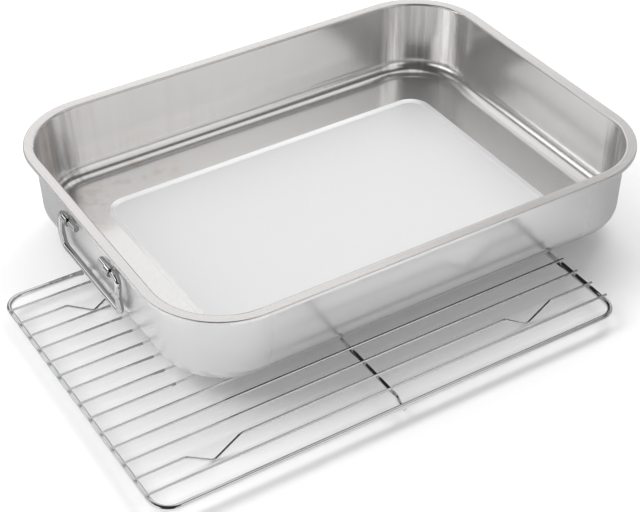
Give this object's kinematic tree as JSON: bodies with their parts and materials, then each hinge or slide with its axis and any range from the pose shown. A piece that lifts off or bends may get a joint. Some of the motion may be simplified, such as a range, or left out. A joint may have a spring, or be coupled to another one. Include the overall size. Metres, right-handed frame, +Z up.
{
  "type": "roasting pan with rack",
  "caption": "Deep rectangular stainless roasting pan with rounded corners, flat rim and a bail handle on each end, standing on a wire cooling rack with bent wire feet",
  "frame": {"origin": "on the surface that the rack's feet stand on, below the middle of the whole arrangement", "axes": "+X along the long sides of the pan and the rack, +Y from the rack's free front toward the pan's back, +Z up"},
  "size_m": [0.4556, 0.3605, 0.0787],
  "materials": {
    "pan_steel": "satin inside and on the rim, polished outside",
    "bracket_steel": "polished",
    "bail_steel": "polished",
    "chromed_wire": "bright plated"
  },
  "bodies": {
    "rack": {"rack_frame": "chromed_wire", "centre_bar": "chromed_wire", "wire_01": "chromed_wire", "wire_02": "chromed_wire", "wire_03": "chromed_wire", "wire_04": "chromed_wire", "wire_05": "chromed_wire", "wire_06": "chromed_wire", "wire_07": "chromed_wire", "wire_08": "chromed_wire", "wire_09": "chromed_wire", "wire_10": "chromed_wire", "wire_11": "chromed_wire", "wire_12": "chromed_wire", "wire_13": "chromed_wire", "wire_14": "chromed_wire"},
    "pan": {"pan_shell": "pan_steel", "bracket_left_front": "bracket_steel", "bracket_left_back": "bracket_steel", "bracket_right_front": "bracket_steel", "bracket_right_back": "bracket_steel"},
    "bail_left_body": {"bail_left": "bail_steel"},
    "bail_right_body": {"bail_right": "bail_steel"}
  },
  "joints": [
    {"name": "pan_lift", "type": "slide", "parent": "rack", "child": "pan", "axis": [0, 0, 1], "range_m": [0, 0.12]},
    {"name": "bail_left_swing", "type": "hinge", "parent": "pan", "child": "bail_left_body", "pos_m": [-0.16735, 0.03525, 0.05709], "axis": [0, 1, 0], "range_deg": [0, 150]},
    {"name": "bail_right_swing", "type": "hinge", "parent": "pan", "child": "bail_right_body", "pos_m": [0.22295, 0.03525, 0.05709], "axis": [0, -1, 0], "range_deg": [0, 150]}
  ]
}
